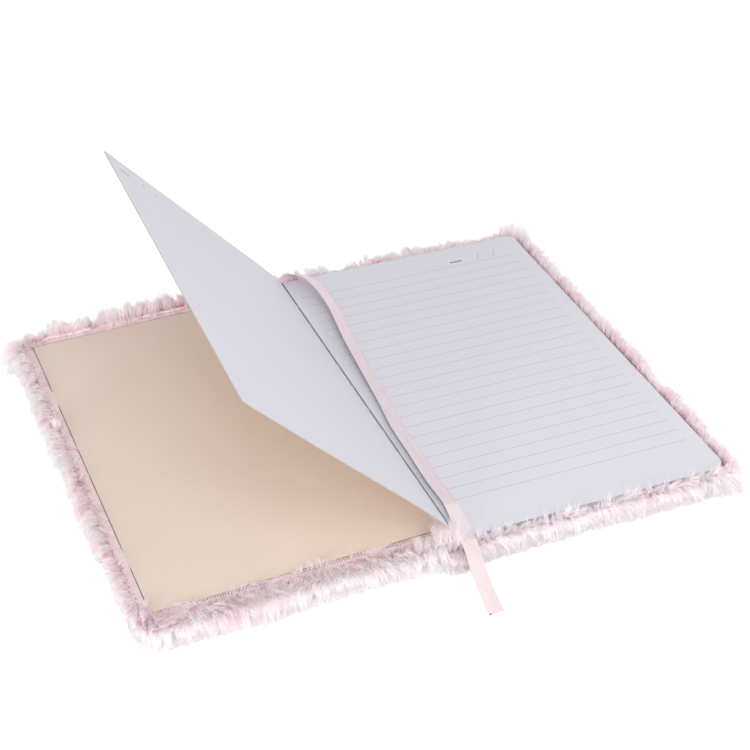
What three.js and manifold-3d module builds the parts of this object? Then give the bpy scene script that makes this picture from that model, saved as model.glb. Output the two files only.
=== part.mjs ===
// Plush notebook lying open near its first leaves, with one leaf standing up over the left cover.
// Millimetres, +Z up. The table is z = 0, X runs across the spread, Y runs along the spine towards
// the head, and the origin lies on the table under the gutter, half way along the spine.
import * as THREE from 'three';
import { mergeVertices } from 'three/addons/utils/BufferGeometryUtils.js';
import Module from 'manifold-3d';

// Clearances
const SEAT_GAP = 0.3; // between glued or resting pieces
const SHEET_GAP = 0.1; // between stacked signatures
const RIM_CLEARANCE = 0.8; // from the leaves to the raised pile around them

// Leaves and text block
const PAGE_LENGTH = 210; // head to tail
const PAGE_WIDTH = 133.2; // gutter to fore-edge
const PAGE_CORNER_RADIUS = 6;
const LEAF_THICKNESS = 0.3;
const SIGNATURE_COUNT = 5;
const SIGNATURE_THICKNESS = 0.86;
const FOLD_REACH = 2; // how far the folded backs stand behind the gutter

// Sewing along the gutter
const STITCH_COUNT = 10;
const STITCH_TAIL_MARGIN = 23.1; // tail edge to the first stitch's middle
const STITCH_HEAD_MARGIN = 24; // last stitch's middle to the head edge
const STITCH_LENGTH = 3.4;
const STITCH_DIAMETER = 0.5;

// Covers: endpaper, folded-over edge of the plush, board and pile, from the inside out
const ENDPAPER_THICKNESS = 0.3;
const ENDPAPER_WIDTH = 127.4;
const ENDPAPER_LENGTH = 196;
const FRONT_ENDPAPER_SHIFT = 4; // glued that much nearer to the head than the cover's middle
const TURN_IN_THICKNESS = 0.5;
const TURN_IN_WIDTH = 18;
const TURN_IN_LEDGE = 0.4; // what shows between the endpaper and the raised pile, below the pile
const BOARD_THICKNESS = 2;
const BOARD_WIDTH = 130;
const BOARD_LENGTH = 210; // as long as the leaves
const BOARD_CORNER_RADIUS = 3;
const PILE_THICKNESS = 5.5; // pile pressed under the cover's own weight
const PILE_OVERHANG = 6; // pile past the board's edges
const RIM_HEIGHT = 2.5; // pile standing above the endpaper, all round the leaves
const COVER_CORNER_RADIUS = 11;
const HINGE_CORNER_RADIUS = 4;
const PILE_BEVEL = 2;
const BEVEL_STEPS = 3;

// Spine
const HINGE_REACH = 6; // gutter to the edge of each board
const ENDPAPER_REACH = 2.6; // gutter to the edge of each endpaper
const LINING_THICKNESS = 0.4;
const LINING_LENGTH = 200;
const SPINE_CARD_THICKNESS = 0.5;
const SPINE_CARD_LENGTH = 206;
const SPINE_PILE_THICKNESS = 1.5;
const SPINE_PILE_LENGTH = 216;
const SPINE_FOOT = 4; // lower edge of the pile over the table
const SPINE_TOP_SLACK = 0.2; // more room under the open front cover, which slopes down from here
const COVER_AXIS_DROP = 0.45; // the axis that the front cover turns on, under the open page
const SPINE_CARD_INSET = 0.5; // card inside the upper and lower edges of the pile

// Lifted leaf and the endpaper leaf behind it
const FOLD_AXIS_RISE = 0.5; // the axis that the leaves turn on, over the open page
const LEAF_ROOT_CLEARANCE = 0.7; // from the fold's axis
const LEAF_REST_ANGLE = 133.5; // from the open page, in degrees

// Ribbon, from its root behind the head of the block to its free end on the table
const RIBBON_WIDTH = 7;
const RIBBON_THICKNESS = 0.4;
const RIBBON_STEPS = 72;
const RIBBON_POINTS = [
  [1.3, 105.55, 10.0],
  [1.5, 105.6, 13.2],
  [3.6, 105.9, 16.9],
  [7.6, 104.0, 19.3],
  [11.4, 98.6, 20.4],
  [13.9, 89.5, 20.3],
  [14.9, 72.4, 19.2],
  [13.4, 55.3, 18.5],
  [11.9, 39.9, 17.9],
  [10.5, 14.9, 17.0],
  [9.0, -9.1, 16.3],
  [7.2, -27.9, 15.9],
  [6.9, -45.3, 15.65],
  [6.2, -66.4, 15.6],
  [6.6, -85.3, 15.6],
  [4.9, -99.5, 15.7],
  [4.2, -107.4, 15.3],
  [3.6, -114.2, 12.9],
  [3.2, -120.4, 9.2],
  [3.3, -129.0, 4.3],
  [3.7, -137.0, 0.5],
];

// Stack of heights over the table, from the back cover up
const coverStack = {
  pastedown: 0,
  turnIn: ENDPAPER_THICKNESS + SEAT_GAP,
};
coverStack.board = coverStack.turnIn + TURN_IN_THICKNESS + SEAT_GAP;
coverStack.pile = coverStack.board + BOARD_THICKNESS + SEAT_GAP;
coverStack.outer = coverStack.pile + PILE_THICKNESS;
const backInnerFace = coverStack.outer;
const blockBottom = backInnerFace + SEAT_GAP;
const signatureBottom = blockBottom + LEAF_THICKNESS + SHEET_GAP;
const signatureStep = SIGNATURE_THICKNESS + SHEET_GAP;
const pageBottom = signatureBottom + SIGNATURE_COUNT * signatureStep;
const pageTop = pageBottom + LEAF_THICKNESS;
const liftedLeafBottom = pageTop + SEAT_GAP;
const flyleafBottom = liftedLeafBottom + LEAF_THICKNESS + SEAT_GAP;
const frontInnerFace = flyleafBottom + LEAF_THICKNESS + SEAT_GAP;
const leafAxisHeight = pageTop + FOLD_AXIS_RISE;
const coverAxisHeight = pageTop - COVER_AXIS_DROP;
const openPanelHeight = 2 * coverAxisHeight - frontInnerFace;
const spineTop = openPanelHeight - ENDPAPER_THICKNESS - SEAT_GAP - SPINE_TOP_SLACK;

// Plan of a cover, from its hinge edge to its fore-edge
const boardEdge = HINGE_REACH + BOARD_WIDTH;
const coverEdge = boardEdge + PILE_OVERHANG;
const coverHalf = BOARD_LENGTH / 2 + PILE_OVERHANG;

const wasm = await Module();
wasm.setup();

// A closed geometry as a solid that can be cut and joined
function solidFrom(geometry) {
  const bare = geometry.clone();
  bare.deleteAttribute('normal');
  bare.deleteAttribute('uv');
  const merged = mergeVertices(bare);
  const vertProperties = new Float32Array(merged.attributes.position.array);
  const triVerts = new Uint32Array(merged.index.array);
  return new wasm.Manifold(new wasm.Mesh({ numProp: 3, vertProperties, triVerts }));
}

function geometryFrom(solid) {
  const mesh = solid.getMesh();
  const geometry = new THREE.BufferGeometry();
  geometry.setAttribute('position', new THREE.BufferAttribute(mesh.vertProperties, 3));
  geometry.setIndex(new THREE.BufferAttribute(mesh.triVerts, 1));
  geometry.computeVertexNormals();
  return geometry;
}

function standard(color, roughness) {
  return new THREE.MeshStandardMaterial({ color, roughness, metalness: 0 });
}

const materials = {
  plush: standard(0xe9dadd, 0.95),
  board: standard(0xb9b4ac, 0.9),
  endpaper: standard(0xd9c9bc, 0.7),
  paper: standard(0xdddce2, 0.8),
  thread: standard(0xe6e4e4, 0.8),
  lining: standard(0xd8d4cc, 0.85),
  ribbon: standard(0xe6d8de, 0.45),
};

function namedMesh(name, geometry, material) {
  const mesh = new THREE.Mesh(geometry, material);
  mesh.name = name;
  return mesh;
}

// Rectangle from x0 to x1 and y0 to y1, with one corner radius at each end of x
function roundedOutline(x0, x1, y0, y1, startRadius, endRadius) {
  const shape = new THREE.Shape();
  shape.moveTo(x0 + startRadius, y0);
  shape.lineTo(x1 - endRadius, y0);
  if (endRadius > 0) shape.absarc(x1 - endRadius, y0 + endRadius, endRadius, -Math.PI / 2, 0, false);
  shape.lineTo(x1, y1 - endRadius);
  if (endRadius > 0) shape.absarc(x1 - endRadius, y1 - endRadius, endRadius, 0, Math.PI / 2, false);
  shape.lineTo(x0 + startRadius, y1);
  if (startRadius > 0) {
    shape.absarc(x0 + startRadius, y1 - startRadius, startRadius, Math.PI / 2, Math.PI, false);
  }
  shape.lineTo(x0, y0 + startRadius);
  if (startRadius > 0) {
    shape.absarc(x0 + startRadius, y0 + startRadius, startRadius, Math.PI, 1.5 * Math.PI, false);
  }
  return shape;
}

function plate(outline, bottom, thickness) {
  const geometry = new THREE.ExtrudeGeometry(outline, {
    depth: thickness,
    bevelEnabled: false,
    curveSegments: 8,
  });
  geometry.translate(0, 0, bottom);
  return geometry;
}

function slab(x0, x1, halfLength, bottom, top) {
  const geometry = new THREE.BoxGeometry(x1 - x0, 2 * halfLength, top - bottom);
  geometry.translate((x0 + x1) / 2, 0, (bottom + top) / 2);
  return geometry;
}

// A leaf's plan: square at the gutter, rounded at the fore-edge
function leafOutline(gutterEdge) {
  const half = PAGE_LENGTH / 2;
  return roundedOutline(gutterEdge, PAGE_WIDTH, -half, half, 0, PAGE_CORNER_RADIUS);
}

// A folded signature: the leaf's plan, with a half-round fold at its back
function signatureGeometry(bottom) {
  const radius = SIGNATURE_THICKNESS / 2;
  const side = new THREE.Shape();
  side.moveTo(PAGE_WIDTH + RIM_CLEARANCE, -radius);
  side.lineTo(PAGE_WIDTH + RIM_CLEARANCE, radius);
  side.lineTo(radius - FOLD_REACH, radius);
  side.absarc(radius - FOLD_REACH, 0, radius, Math.PI / 2, 1.5 * Math.PI, false);
  const folded = new THREE.ExtrudeGeometry(side, {
    depth: PAGE_LENGTH + 2 * RIM_CLEARANCE,
    bevelEnabled: false,
    curveSegments: 6,
  });
  folded.rotateX(Math.PI / 2);
  folded.translate(0, PAGE_LENGTH / 2 + RIM_CLEARANCE, bottom + radius);
  const plan = plate(leafOutline(-FOLD_REACH - SEAT_GAP), bottom - SEAT_GAP,
    SIGNATURE_THICKNESS + 2 * SEAT_GAP);
  return geometryFrom(solidFrom(plan).intersect(solidFrom(folded)));
}

function textBlock() {
  const block = new THREE.Group();
  const leaf = leafOutline(-FOLD_REACH);
  block.add(namedMesh('back_flyleaf', plate(leaf, blockBottom, LEAF_THICKNESS), materials.endpaper));
  for (let i = 0; i < SIGNATURE_COUNT; i += 1) {
    const geometry = signatureGeometry(signatureBottom + i * signatureStep);
    block.add(namedMesh(`signature_${i + 1}`, geometry, materials.paper));
  }
  block.add(namedMesh('right_leaf', plate(leaf, pageBottom, LEAF_THICKNESS), materials.paper));
  return block;
}

// Short stitches of sewing thread that lie in the gutter, on the fold
function stitches() {
  const row = new THREE.Group();
  const height = pageTop + SHEET_GAP + STITCH_DIAMETER / 2;
  const straight = STITCH_LENGTH - STITCH_DIAMETER;
  const pitch = (PAGE_LENGTH - STITCH_TAIL_MARGIN - STITCH_HEAD_MARGIN) / (STITCH_COUNT - 1);
  for (let i = 0; i < STITCH_COUNT; i += 1) {
    const geometry = new THREE.CapsuleGeometry(STITCH_DIAMETER / 2, straight, 3, 8);
    const station = STITCH_TAIL_MARGIN - PAGE_LENGTH / 2 + i * pitch;
    const stitch = namedMesh(`stitch_${i + 1}`, geometry, materials.thread);
    stitch.position.set(0, station, height);
    row.add(stitch);
  }
  return row;
}

// Paper lining on the folded backs, then a card strip, then the plush that closes the spine
function spine() {
  const group = new THREE.Group();
  const lining = -FOLD_REACH - SEAT_GAP;
  const card = lining - LINING_THICKNESS - SEAT_GAP;
  const pile = card - SPINE_CARD_THICKNESS - SEAT_GAP;
  const liningGeometry = slab(lining - LINING_THICKNESS, lining, LINING_LENGTH / 2,
    blockBottom, spineTop);
  const cardGeometry = slab(card - SPINE_CARD_THICKNESS, card, SPINE_CARD_LENGTH / 2,
    SPINE_FOOT + SPINE_CARD_INSET, spineTop - SPINE_CARD_INSET);
  const pileGeometry = slab(pile - SPINE_PILE_THICKNESS, pile, SPINE_PILE_LENGTH / 2,
    SPINE_FOOT, spineTop);
  group.add(namedMesh('spine_lining', liningGeometry, materials.lining));
  group.add(namedMesh('spine_card', cardGeometry, materials.board));
  group.add(namedMesh('spine_plush', pileGeometry, materials.plush));
  return group;
}

// Plush cover: thick pile outside, folded over the board's edges, raised all round the leaves.
// Built with its inner face at z = 0 and its outside upwards.
function plushGeometry() {
  const outline = roundedOutline(HINGE_REACH + PILE_BEVEL, coverEdge - PILE_BEVEL,
    PILE_BEVEL - coverHalf, coverHalf - PILE_BEVEL, HINGE_CORNER_RADIUS, COVER_CORNER_RADIUS);
  const height = coverStack.outer + RIM_HEIGHT;
  const outer = new THREE.ExtrudeGeometry(outline, {
    depth: height - 2 * PILE_BEVEL,
    bevelThickness: PILE_BEVEL,
    bevelSize: PILE_BEVEL,
    bevelSegments: BEVEL_STEPS,
    curveSegments: 8,
  });
  outer.translate(0, 0, PILE_BEVEL - RIM_HEIGHT);
  const above = -RIM_HEIGHT - PILE_BEVEL;
  const open = HINGE_REACH - PILE_BEVEL;
  const turnInTop = coverStack.turnIn + TURN_IN_THICKNESS;
  const recess = slab(open, PAGE_WIDTH + RIM_CLEARANCE, PAGE_LENGTH / 2 + RIM_CLEARANCE, above, 0);
  const endpaperSeat = slab(open, ENDPAPER_REACH + ENDPAPER_WIDTH + TURN_IN_LEDGE,
    ENDPAPER_LENGTH / 2 + FRONT_ENDPAPER_SHIFT + TURN_IN_LEDGE, above, coverStack.turnIn);
  const window = slab(open, boardEdge - TURN_IN_WIDTH, BOARD_LENGTH / 2 - TURN_IN_WIDTH,
    above, coverStack.board);
  const pocket = slab(open, boardEdge + SEAT_GAP, BOARD_LENGTH / 2 + SEAT_GAP,
    turnInTop, coverStack.pile);
  const cut = solidFrom(recess).add(solidFrom(endpaperSeat)).add(solidFrom(window))
    .add(solidFrom(pocket));
  return geometryFrom(solidFrom(outer).subtract(cut));
}

function cover(side, endpaperShift) {
  const group = new THREE.Group();
  const boardOutline = roundedOutline(HINGE_REACH, boardEdge, -BOARD_LENGTH / 2,
    BOARD_LENGTH / 2, 0, BOARD_CORNER_RADIUS);
  const pastedown = slab(ENDPAPER_REACH, ENDPAPER_REACH + ENDPAPER_WIDTH, ENDPAPER_LENGTH / 2,
    0, ENDPAPER_THICKNESS);
  pastedown.translate(0, endpaperShift, 0);
  const board = plate(boardOutline, coverStack.board, BOARD_THICKNESS);
  group.add(namedMesh(`${side}_pastedown`, pastedown, materials.endpaper));
  group.add(namedMesh(`${side}_board`, board, materials.board));
  group.add(namedMesh(`${side}_plush`, plushGeometry(), materials.plush));
  return group;
}

// Pieces that turn on an axis along the gutter are modelled closed and then swung open
function swungOpen(pieces, axisHeight, degrees) {
  const hinge = new THREE.Group();
  hinge.position.set(0, 0, axisHeight);
  hinge.rotation.y = THREE.MathUtils.degToRad(-degrees);
  const closed = new THREE.Group();
  closed.position.set(0, 0, -axisHeight);
  closed.add(pieces);
  hinge.add(closed);
  return hinge;
}

// The front cover lies open with its outer bottom edge on the table
function frontRestAngle() {
  const reach = coverEdge - PILE_BEVEL;
  const depth = frontInnerFace - coverAxisHeight + coverStack.outer;
  const slope = Math.asin(coverAxisHeight / Math.hypot(reach, depth)) - Math.atan2(depth, reach);
  return 180 + THREE.MathUtils.radToDeg(slope);
}

function leafBundle() {
  const bundle = new THREE.Group();
  const leaf = leafOutline(LEAF_ROOT_CLEARANCE);
  const lifted = plate(leaf, liftedLeafBottom, LEAF_THICKNESS);
  const flyleaf = plate(leaf, flyleafBottom, LEAF_THICKNESS);
  bundle.add(namedMesh('lifted_leaf', lifted, materials.paper));
  bundle.add(namedMesh('front_flyleaf', flyleaf, materials.endpaper));
  return bundle;
}

// Flat ribbon: a thin rectangle carried along the route, its width kept level across the spine
function ribbonGeometry() {
  const route = new THREE.CatmullRomCurve3(
    RIBBON_POINTS.map((point) => new THREE.Vector3(...point)), false, 'centripetal');
  const across = new THREE.Vector3(1, 0, 0);
  const positions = [];
  const faces = [];
  const corners = [[1, 1], [-1, 1], [-1, -1], [1, -1]];
  for (let i = 0; i <= RIBBON_STEPS; i += 1) {
    const share = i / RIBBON_STEPS;
    const centre = route.getPointAt(share);
    const along = route.getTangentAt(share);
    const wide = across.clone().addScaledVector(along, -across.dot(along)).normalize();
    const thick = new THREE.Vector3().crossVectors(along, wide);
    for (const [sideways, upwards] of corners) {
      const corner = centre.clone()
        .addScaledVector(wide, sideways * RIBBON_WIDTH / 2)
        .addScaledVector(thick, upwards * RIBBON_THICKNESS / 2);
      positions.push(corner.x, corner.y, corner.z);
    }
  }
  const count = corners.length;
  for (let i = 0; i < RIBBON_STEPS; i += 1) {
    for (let j = 0; j < count; j += 1) {
      const a = i * count + j;
      const b = i * count + (j + 1) % count;
      faces.push(a, b, a + count, b, b + count, a + count);
    }
  }
  const last = RIBBON_STEPS * count;
  faces.push(0, 2, 1, 0, 3, 2, last, last + 1, last + 2, last, last + 2, last + 3);
  const geometry = new THREE.BufferGeometry();
  geometry.setAttribute('position', new THREE.Float32BufferAttribute(positions, 3));
  geometry.setIndex(faces);
  geometry.computeVertexNormals();
  return geometry;
}

const frontCover = cover('front', FRONT_ENDPAPER_SHIFT);
frontCover.position.z = frontInnerFace;
const backCover = cover('back', 0);
backCover.rotation.x = Math.PI;
backCover.position.z = backInnerFace;

const notebook = new THREE.Group();
notebook.add(textBlock(), stitches(), spine(), backCover);
notebook.add(swungOpen(frontCover, coverAxisHeight, frontRestAngle()));
notebook.add(swungOpen(leafBundle(), leafAxisHeight, LEAF_REST_ANGLE));
notebook.add(namedMesh('bookmark_ribbon', ribbonGeometry(), materials.ribbon));

export default notebook;
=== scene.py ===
from itertools import product

import bmesh
import bpy
import numpy as np
from mathutils import Matrix, Vector, noise


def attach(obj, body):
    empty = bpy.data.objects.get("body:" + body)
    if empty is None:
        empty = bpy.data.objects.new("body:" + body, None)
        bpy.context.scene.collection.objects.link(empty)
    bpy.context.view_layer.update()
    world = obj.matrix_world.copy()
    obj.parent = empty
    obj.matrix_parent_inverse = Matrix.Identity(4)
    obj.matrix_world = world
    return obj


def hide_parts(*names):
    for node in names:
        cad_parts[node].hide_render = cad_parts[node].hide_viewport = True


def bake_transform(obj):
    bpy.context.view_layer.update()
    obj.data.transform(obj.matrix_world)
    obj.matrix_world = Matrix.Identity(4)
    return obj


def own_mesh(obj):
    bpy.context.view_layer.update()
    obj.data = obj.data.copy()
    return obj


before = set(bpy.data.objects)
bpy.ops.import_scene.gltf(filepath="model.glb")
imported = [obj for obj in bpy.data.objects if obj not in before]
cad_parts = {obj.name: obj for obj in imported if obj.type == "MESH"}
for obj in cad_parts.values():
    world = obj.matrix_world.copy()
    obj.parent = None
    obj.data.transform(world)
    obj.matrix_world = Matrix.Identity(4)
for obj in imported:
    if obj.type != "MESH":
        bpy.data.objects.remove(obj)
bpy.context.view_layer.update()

# Camera: a normal lens in front of the notebook's tail edge, a little to its left, looking down
# on the gutter and rolled by two degrees, as the photograph was taken.
camera_place = Vector((-0.24129, -0.54658, 0.46681))
camera_aim = Vector((0.01375, 0.014209, 0.015))
camera_roll = 0.0350
camera = bpy.data.objects.new("camera", bpy.data.cameras.new("camera"))
bpy.context.scene.collection.objects.link(camera)
camera.data.sensor_width = 36
camera.data.lens = 77.11
backwards = (camera_place - camera_aim).normalized()
rightwards = Vector((0, 0, 1)).cross(backwards).normalized()
upwards = backwards.cross(rightwards)
rolled_right = rightwards * np.cos(camera_roll) + upwards * np.sin(camera_roll)
rolled_up = upwards * np.cos(camera_roll) - rightwards * np.sin(camera_roll)
camera.matrix_world = Matrix.Translation(camera_place) @ Matrix(
    (rolled_right, rolled_up, backwards)
).transposed().to_4x4()
bpy.context.scene.camera = camera
bpy.context.scene.view_settings.view_transform = "Standard"

# Ribbon marker: woven satin ribbon, 7 mm wide. Its root is glued to the lining behind the head of
# the block, it arches over the open page, lies on it towards the tail and ends cut on the table.
ribbon_width = 0.007
ribbon_thickness = 0.00028
ribbon_cup = 0.0002
rib_pitch = 0.62
warp_threads = 26
root_glued = 0.006
root_turning = 0.012
edge_over_page = 0.0154
ribbon_tilts = {
    -0.104: 0.05, -0.084: 0.26, -0.04: 0.22, -0.01: 0.26, 0.02: 0.38, 0.06: 0.55, 0.1: 0.40,
}
ribbon_route = np.array([
    (1.3, 105.55, 10.0), (1.5, 105.6, 13.2), (3.6, 105.9, 16.9), (7.6, 104.0, 19.3),
    (11.4, 98.6, 20.4), (13.9, 89.5, 20.3), (14.9, 72.4, 19.2), (13.4, 55.3, 18.5),
    (11.9, 39.9, 17.9), (10.5, 14.9, 17.0), (9.0, -9.1, 16.3), (7.2, -27.9, 15.9),
    (6.9, -45.3, 15.65), (6.2, -66.4, 15.6), (6.6, -85.3, 15.6), (4.9, -99.5, 15.7),
    (4.2, -107.4, 15.3), (3.6, -114.2, 12.9), (3.2, -120.4, 9.2), (3.3, -129.0, 4.3),
    (3.7, -137.0, 0.5),
]) / 1000


def even_route(knots, count):
    """Evenly spaced points on a smooth curve through the knots, and how far along each lies."""
    padded = np.vstack([2 * knots[0] - knots[1], knots, 2 * knots[-1] - knots[-2]])
    share = np.linspace(0, 1, 24, endpoint=False)[:, None]
    spans = []
    for before, first, last, after in zip(padded, padded[1:], padded[2:], padded[3:]):
        near, middle, far = (
            np.linalg.norm(b - a) ** 0.5
            for a, b in ((before, first), (first, last), (last, after))
        )
        leave = (first - before) / near - (last - before) / (near + middle)
        leave = (leave + (last - first) / middle) * middle
        arrive = (last - first) / middle - (after - first) / (middle + far)
        arrive = (arrive + (after - last) / far) * middle
        bend = 3 * (last - first) - 2 * leave - arrive
        turn = leave + arrive - 2 * (last - first)
        spans.append(first + leave * share + bend * share**2 + turn * share**3)
    fine = np.vstack(spans + [knots[-1:]])
    travelled = np.append(0, np.cumsum(np.linalg.norm(np.diff(fine, axis=0), axis=1)))
    stations = np.linspace(0, travelled[-1], count)
    points = np.stack([np.interp(stations, travelled, fine[:, k]) for k in range(3)], 1)
    return points, stations


def colour(red, green, blue):
    """A screen colour, 0 to 255, as the linear colour that a material takes."""
    screen = np.array((red, green, blue)) / 255
    linear = np.where(screen < 0.04045, screen / 12.92, ((screen + 0.055) / 1.055) ** 2.4)
    return (*(float(part) for part in linear), 1.0)


def feed(tree, socket, value):
    """Joins a socket to the output that is given, or sets it to a plain value."""
    if isinstance(value, bpy.types.NodeSocket):
        tree.links.new(value, socket)
    elif value is not None:
        socket.default_value = value


def put(tree, kind, *values, **settings):
    """A node of that kind, with values for its first inputs, None where one keeps its own."""
    made = tree.nodes.new(kind)
    for name, setting in settings.items():
        setattr(made, name, setting)
    for socket, value in zip(made.inputs, values):
        feed(tree, socket, value)
    return made


def maths(tree, operation, *values):
    return put(tree, "ShaderNodeMath", *values, operation=operation).outputs[0]


def times(tree, first, second):
    return maths(tree, "MULTIPLY", first, second)


def waves(tree, travel, pitch):
    """A sine wave along a coordinate."""
    return maths(tree, "SINE", times(tree, travel, 2 * np.pi / pitch))


def clouds(tree, place, scale, detail):
    """Soft random cloudiness, from 0 to 1."""
    return put(tree, "ShaderNodeTexNoise", place, None, scale, detail).outputs[0]


def layer_place(tree, layer):
    """A point's place on one of the piece's own UV maps."""
    return put(tree, "ShaderNodeUVMap", uv_map=layer).outputs[0]


def split(tree, place):
    """The x, y and z of a place."""
    return put(tree, "ShaderNodeSeparateXYZ", place).outputs[:]


def mixed(tree, share, first, second):
    """A colour between two others."""
    mix = tree.nodes.new("ShaderNodeMix")
    mix.data_type = "RGBA"
    for number, value in ((0, share), (6, first), (7, second)):
        feed(tree, mix.inputs[number], value)
    return mix.outputs[2]


def graded(tree, value, *stops):
    """A colour read from stops of (place, red, green, blue)."""
    ramp = put(tree, "ShaderNodeValToRGB", value)
    spots = ramp.color_ramp.elements
    while len(spots) < len(stops):
        spots.new(0.5)
    for spot, (place, *shade) in zip(spots, stops):
        spot.position = place
        spot.color = colour(*shade)
    return ramp.outputs[0]


def between(tree, value, low, high, first=0.0, last=1.0):
    """A smooth step from first to last as the value goes from low to high."""
    step = put(tree, "ShaderNodeMapRange", value, low, high, first, last)
    step.interpolation_type = "SMOOTHSTEP"
    return step.outputs[0]


def band(tree, value, start, full, fading, end):
    """One inside a band of the value, with soft sides, and nought outside it."""
    return times(tree, between(tree, value, start, full), between(tree, value, end, fading))


def start_material(name, roughness, **plain):
    """A new material's tree and its Principled shader, with plain numbers on that."""
    material = bpy.data.materials.new(name)
    material.use_nodes = True
    shader = material.node_tree.nodes["Principled BSDF"]
    shader.inputs["Roughness"].default_value = roughness
    for socket, value in plain.items():
        shader.inputs[socket.replace("_", " ")].default_value = value
    return material, material.node_tree, shader


def raise_surface(tree, shader, height, distance):
    """Gives the shader a bump from a height."""
    bump = put(tree, "ShaderNodeBump", 1.0, distance)
    tree.links.new(height, bump.inputs["Height"])
    tree.links.new(bump.outputs[0], shader.inputs["Normal"])


def finish_mesh(name, shape, material, smooth=True):
    """A new piece from a bmesh, with its material."""
    mesh = bpy.data.meshes.new(name)
    shape.to_mesh(mesh)
    shape.free()
    mesh.materials.append(material)
    mesh.polygons.foreach_set("use_smooth", [smooth] * len(mesh.polygons))
    mesh.set_sharp_from_angle(angle=np.radians(50))
    piece = bpy.data.objects.new(name, mesh)
    bpy.context.scene.collection.objects.link(piece)
    return piece


satin, tree, shader = start_material(
    "ribbon satin", 0.42, Sheen_Weight=0.25, Sheen_Roughness=0.4, Specular_IOR_Level=0.35
)
along = layer_place(tree, "ribbon")
across, travel, _ = split(tree, along)
ribs = waves(tree, travel, rib_pitch)
warp = waves(tree, across, 1 / warp_threads)
stretched = put(tree, "ShaderNodeMapping", along, None, None, (3, 0.09, 1)).outputs[0]
selvedge = between(tree, maths(tree, "ABSOLUTE", maths(tree, "SUBTRACT", across, 0.5)), 0.40, 0.48)
# Painted light: the ribbon is painted paler from its root, fading out by 120 mm, to lift the shade it
# lies in there.
painted_root_light = between(tree, travel, 12.0, 120.0, 0.9, 0.0)
# Painted light: a paler band where the ribbon bends over the page's tail edge and turns to the front
# lamp, and a changed tint on the end that hangs down to the table, for how the light falls on it.
painted_light_over_edge = band(tree, travel, 202.0, 204.5, 219.0, 224.0)
painted_light_hanging = between(tree, travel, 219.0, 224.0)
singed = times(tree, between(tree, travel, 258.6, 259.4), between(tree, across, 0.2, 0.06))
pink = graded(
    tree, clouds(tree, stretched, 1.0, 3.0), (0.3, 228, 211, 219), (0.7, 238, 222, 229)
)
for share, shade in (
    (times(tree, selvedge, 0.5), (216, 190, 202)),
    (between(tree, ribs, 0.2, 1.0, 0.0, 0.2), (196, 168, 182)),
    (painted_root_light, (249, 222, 230)),
    (painted_light_over_edge, (246, 230, 233)),
    (painted_light_hanging, (232, 214, 216)),
    (singed, (150, 112, 104)),
):
    pink = mixed(tree, share, pink, colour(*shade))
tree.links.new(pink, shader.inputs["Base Color"])
tree.links.new(between(tree, ribs, -1, 1, 0.52, 0.36), shader.inputs["Roughness"])
raise_surface(tree, shader, maths(tree, "ADD", ribs, times(tree, warp, 0.4)), 0.00006)

steps = 300
centre, travelled = even_route(ribbon_route, steps + 1)
tangent = np.gradient(centre, axis=0)
tangent /= np.linalg.norm(tangent, axis=1)[:, None]
wide = np.array((1.0, 0, 0)) - tangent * tangent[:, :1]
wide /= np.linalg.norm(wide, axis=1)[:, None]
face_up = np.cross(tangent, wide)
tilt = np.interp(centre[:, 1], list(ribbon_tilts), list(ribbon_tilts.values()))[:, None]
tilt = tilt * np.clip((travelled - root_glued) / root_turning, 0, 1)[:, None]
lifted = np.clip(edge_over_page + np.sin(tilt[:, 0]) * ribbon_width / 2 - centre[:, 2], 0, None)
centre[:, 2] += lifted * np.clip((centre[:, 1] + 0.106) / 0.01, 0, 1) * (travelled > 0.02)
wide, face_up = (
    wide * np.cos(tilt) - face_up * np.sin(tilt), face_up * np.cos(tilt) + wide * np.sin(tilt)
)
shape = bmesh.new()
bmesh.ops.create_grid(shape, x_segments=8, y_segments=steps, size=1, calc_uvs=True)
marks = shape.loops.layers.uv.verify()
for vert in shape.verts:
    sideways = vert.co.x
    station = round((vert.co.y + 1) / 2 * steps)
    crown = ribbon_cup * (1 - sideways**2) * np.sin(travelled[station] * 55)
    for loop in vert.link_loops:
        loop[marks].uv = ((sideways + 1) / 2, travelled[station] * 1000)
    vert.co = Vector(
        centre[station]
        + wide[station] * sideways * ribbon_width / 2
        + face_up[station] * (crown - ribbon_thickness / 2)
    )
bmesh.ops.solidify(shape, geom=shape.faces[:], thickness=ribbon_thickness)
ribbon = finish_mesh("ribbon_marker", shape, satin)
ribbon.data.uv_layers[0].name = "ribbon"
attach(ribbon, "text_block")
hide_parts("bookmark_ribbon")
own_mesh(ribbon)

# Backing of the plush: pink knitted cloth wrapped round each board and folded in under the
# endpaper. Its pile is too thick for the cloth to show, except where it parts beside the endpaper.
cover_reach = 0.1370
cover_half = 0.1067
hinge_side = 0.0062
rim_inside = 0.1342
rim_half = 0.1053
seat_edge = 0.1300
seat_half = 0.0980
seat_lift = 0.00062
rim_lift = 0.0016
cloth_inside = 0.0007
cloth_outside = 0.0062
cover_corner = 0.008
cloth_roll = 0.0006
swell_pitch = 0.0043
swell_height = 0.0009
lowest_cloth = 0.0012
back_face_height = 0.0092
front_hinge_height = 0.01455
front_face_drop = 0.00195
front_slope = np.radians(1.3931)
front_seat_shift = 0.004


def lay_back(place):
    """From (away from the gutter, towards the head, outwards from the inner face) to the table."""
    return np.stack([place[..., 0], place[..., 1], back_face_height - place[..., 2]], -1)


# lay_back is its own reverse.
read_back = lay_back


def lay_front(place):
    """The same for the front cover, which slopes down from its hinge to the table."""
    away, head, outwards = place[..., 0], place[..., 1], place[..., 2] + front_face_drop
    return np.stack([
        outwards * np.sin(front_slope) - away * np.cos(front_slope),
        head,
        front_hinge_height - away * np.sin(front_slope) - outwards * np.cos(front_slope),
    ], -1)


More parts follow.
